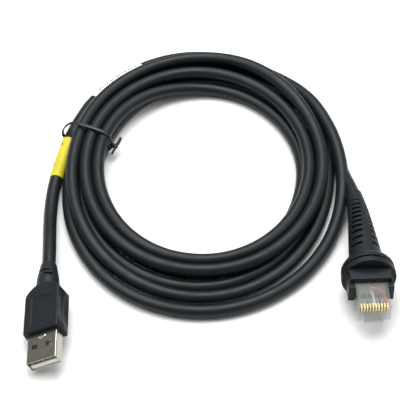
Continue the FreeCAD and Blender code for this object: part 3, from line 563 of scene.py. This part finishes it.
# The grip's finger recesses: their middle, half their length and height, and their depth in the
# sides, which lie further out than GRIP_SIDE.
RECESS_AT = 20.5
RECESS_HALF = (6.5, 3.6)
RECESS_DEPTH = 1.0
GRIP_SIDE = 6.5
# The grip's right shoulder: from how far out, between which places along, and how far it moves.
SHOULDER_OUT = 3
SHOULDER_ENDS = (20, 33)
SHOULDER = 1.7
# The neck: its start and length, the radius past which it is made fuller, and by what share.
NECK_START = 32.7
NECK_LENGTH = 10.7
NECK_RADIUS = 2.62
NECK_FULLER = 0.30
# The mark on the shell: its middle, outline, height, edge, and how much smaller its top is.
MARK_AT = (0, 9.9, 2.2)
MARK_OUTLINE = [
    (-1.5, 0.75), (1.5, 0.75), (1.5, 0.25), (0.35, -0.75), (-0.35, -0.75), (-1.5, 0.25),
]
MARK_HEIGHT = 0.22
MARK_EDGE = 0.06
MARK_TOP = 0.72


def settle(piece):
    """Work the piece's modifiers into its mesh."""
    bpy.context.view_layer.update()
    graph = bpy.context.evaluated_depsgraph_get()
    mesh = bpy.data.meshes.new_from_object(piece.evaluated_get(graph))
    piece.modifiers.clear()
    piece.data = mesh


def copy_of(node, name, place, reshape, voxel, rounds, material):
    """A moulded part with soft edges: the CAD shape remeshed, reshaped in place and smoothed."""
    piece = bpy.data.objects.new(name, NODES[node].data.copy())
    bpy.context.collection.objects.link(piece)
    remesh = piece.modifiers.new("remesh", "REMESH")
    remesh.mode = "VOXEL"
    remesh.voxel_size = voxel * MM
    settle(piece)
    back = place.inverted()
    for vertex in piece.data.vertices:
        vertex.co = place @ reshape(back @ vertex.co)
    soften = piece.modifiers.new("soften", "SMOOTH")
    soften.factor = 0.5
    soften.iterations = rounds
    settle(piece)
    piece.data.shade_smooth()
    dress(piece, material)
    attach(piece, "cable")
    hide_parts(node)


def bend_boot(spot):
    """The boot leans a little to the left towards its tip."""
    past = max(0.0, spot.y - LEAN_FROM)
    return Vector((spot.x - LEAN * past**2, spot.y, spot.z))


def press_grip(spot):
    """The grip's finger recesses, its fuller right shoulder, and the neck's rounded outline."""
    x, y, z = spot
    along = 1 - ((y - RECESS_AT) / RECESS_HALF[0]) ** 2
    across = 1 - (z / RECESS_HALF[1]) ** 2
    if abs(x) > GRIP_SIDE and along > 0 and across > 0:
        x -= math.copysign(RECESS_DEPTH * along * across, x)
    low, high = SHOULDER_ENDS
    if x > SHOULDER_OUT and low < y < high:
        y += SHOULDER * min(1, (x - SHOULDER_OUT) / 4) * min(1, (y - low) / 6)
    if y > NECK_START and math.hypot(x, z) > NECK_RADIUS:
        t = min(1, (y - NECK_START) / NECK_LENGTH)
        fuller = 1 + NECK_FULLER * t**1.2 * (1 - t) ** 0.45
        x, z = x * fuller, z * fuller
    return Vector((x, y, z))


def make_shell_mark():
    """The small raised mark on the top of the USB shell, in nickel made lighter than the shell's: a
    painted highlight.
    """
    shape = bmesh.new()
    _, mark_y, mark_z = MARK_AT
    low = [shape.verts.new(USB @ Vector((x, y + mark_y, mark_z))) for x, y in MARK_OUTLINE]
    shape.faces.new(low)
    risen = bmesh.ops.extrude_face_region(shape, geom=shape.faces[:])
    top = [part for part in risen["geom"] if isinstance(part, bmesh.types.BMVert)]
    centre = USB @ Vector(MARK_AT)
    rise = USB.to_3x3().normalized() @ Vector((0, 0, MARK_HEIGHT * MM))
    for vert in top:
        vert.co = centre + (vert.co - centre) * MARK_TOP + rise
    bmesh.ops.recalc_face_normals(shape, faces=shape.faces)
    bmesh.ops.bevel(
        shape, geom=shape.edges[:], offset=MARK_EDGE * MM, segments=2, affect="EDGES", profile=0.5
    )
    mesh = bpy.data.meshes.new("usb_shell_mark")
    shape.to_mesh(mesh)
    shape.free()
    mark = bpy.data.objects.new("usb_shell_mark", mesh)
    bpy.context.collection.objects.link(mark)
    # Nickel lighter than the shell's: a painted highlight.
    dress(mark, "bright")
    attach(mark, "cable")


# ---- Twist tie ------------------------------------------------------------------------------

# In mm: once round the bundle, then its two ends twisted together and opened out.
TIE_LOOP = [
    (-38.7, 66.3, 3.6), (-39.6, 66.7, 1.2), (-43.5, 68.3, 0.4), (-51.5, 71.4, 0.4),
    (-56.4, 73.2, 0.7), (-58.4, 73.8, 2.6), (-58.2, 73.6, 5.6), (-57.0, 73.3, 8.2),
    (-54.6, 73.1, 10.5), (-51.5, 71.6, 11.5), (-46.5, 69.6, 11.5), (-42.0, 67.8, 11.1),
    (-39.3, 66.8, 9.4), (-38.4, 66.3, 6.4),
]
# The knot: where it starts, which way it goes, its length and radius, how far back it begins, and
# the turns and points of each end in it.
KNOT = (-38.6, 66.2, 4.8)
KNOT_ALONG = (0.929, -0.371, 0.0)
KNOT_LENGTH = 2.3
KNOT_RADIUS = 0.5
KNOT_BACK = 0.4
KNOT_TURNS = 1.25
KNOT_STEPS = 16
TAILS = [
    [(-36.6, 66.4, 4.9), (-35.6, 68.2, 5.2), (-35.2, 69.6, 5.4)],
    [(-37.5, 64.8, 4.2), (-38.2, 63.6, 3.6), (-38.6, 62.9, 3.2)],
]
# The ribbon: the way its width lies, its width and thickness, round the bundle and at the ends,
# and the twist of each end in turns.
BUNDLE_WAY = (0.371, 0.929, 0.0)
LOOP_SIZE = (1.45, 0.62)
TAIL_WAY = (0.3, 0.5, 0.8)
TAIL_SIZE = (1.3, 0.75)
TAIL_TWIST = 0.4
# The points round the ribbon.
RIM = 20


def ribbon(name, spots, flat, wide, thick, turns=0.0):
    """A flat strip with rounded edges along close points; flat is how its width lies at first."""
    profile = []
    for k in range(RIM):
        turn = 2 * math.pi * k / RIM
        x, y = math.cos(turn), math.sin(turn)
        out_x = math.copysign(abs(x) ** 0.7, x) * wide / 2
        out_y = math.copysign(abs(y) ** 0.6, y) * thick / 2
        profile.append((out_x, out_y))
    verts, faces = [], []
    for i, spot in enumerate(spots):
        ahead = (spots[min(i + 1, len(spots) - 1)] - spots[max(i - 1, 0)]).normalized()
        side = Vector(flat) - ahead * ahead.dot(Vector(flat))
        side.normalize()
        face = ahead.cross(side)
        turn = 2 * math.pi * turns * i / (len(spots) - 1)
        across = side * math.cos(turn) + face * math.sin(turn)
        out = face * math.cos(turn) - side * math.sin(turn)
        verts += [spot + (across * x + out * y) * MM for x, y in profile]
    for i in range(len(spots) - 1):
        for k in range(RIM):
            a, b = i * RIM + k, i * RIM + (k + 1) % RIM
            faces.append((a, b, b + RIM, a + RIM))
    faces.append(tuple(range(RIM - 1, -1, -1)))
    faces.append(tuple(range(len(verts) - RIM, len(verts))))
    return mesh_object(name, verts, faces, "tie")


def line_through(points):
    """Close points of the smooth spline with these control points, in mm."""
    guide = spline_object("guide", [Vector(point) * MM for point in points], 0)
    spots = read_route(guide, 10)
    bpy.data.objects.remove(guide)
    return spots


def make_tie():
    """The loop round the bundle and its two ends."""
    loop = ribbon("tie_loop", line_through(TIE_LOOP), BUNDLE_WAY, *LOOP_SIZE)
    start = Vector(KNOT)
    along = Vector(KNOT_ALONG)
    across = along.cross(Vector((0, 0, 1)))
    pieces = [loop]
    for end, (tail, phase) in enumerate(zip(TAILS, (0, math.pi))):
        points = []
        for i in range(KNOT_STEPS + 1):
            turn = phase + 2 * math.pi * KNOT_TURNS * i / KNOT_STEPS
            middle = start + along * (KNOT_LENGTH * i / KNOT_STEPS - KNOT_BACK)
            round_it = across * math.cos(turn) + Vector((0, 0, math.sin(turn)))
            points.append(middle + round_it * KNOT_RADIUS)
        spots = line_through([*points, *tail])
        pieces.append(ribbon(f"tie_end_{end + 1}", spots, TAIL_WAY, *TAIL_SIZE, TAIL_TWIST))
    for piece in pieces:
        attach(piece, "cable")
    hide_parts("twist_tie", "twist_tie_wire")
    return pieces


# ---- The scene ------------------------------------------------------------------------------

make_camera()
make_floor()
for lamp in LAMPS:
    make_lamp(*lamp)
make_world()

cable = make_cable()
route = read_route(cable)
yellow = make_sleeve(
    "yellow_sleeve", route, *YELLOW_ENDS,
    "yellow_label", "yellow_vinyl", "yellow", "red_ink", yellow_marks,
)
white = make_sleeve(
    "white_sleeve", route, *WHITE_ENDS,
    "white_label", "white_vinyl", "paper", "blue_ink", white_marks,
)
tie = make_tie()
copy_of("scanner_boot", "boot", PLUG, bend_boot, 0.17, 4, "moulded")
copy_of("usb_overmould", "usb_grip", USB, press_grip, 0.15, 3, "moulded")
make_shell_mark()
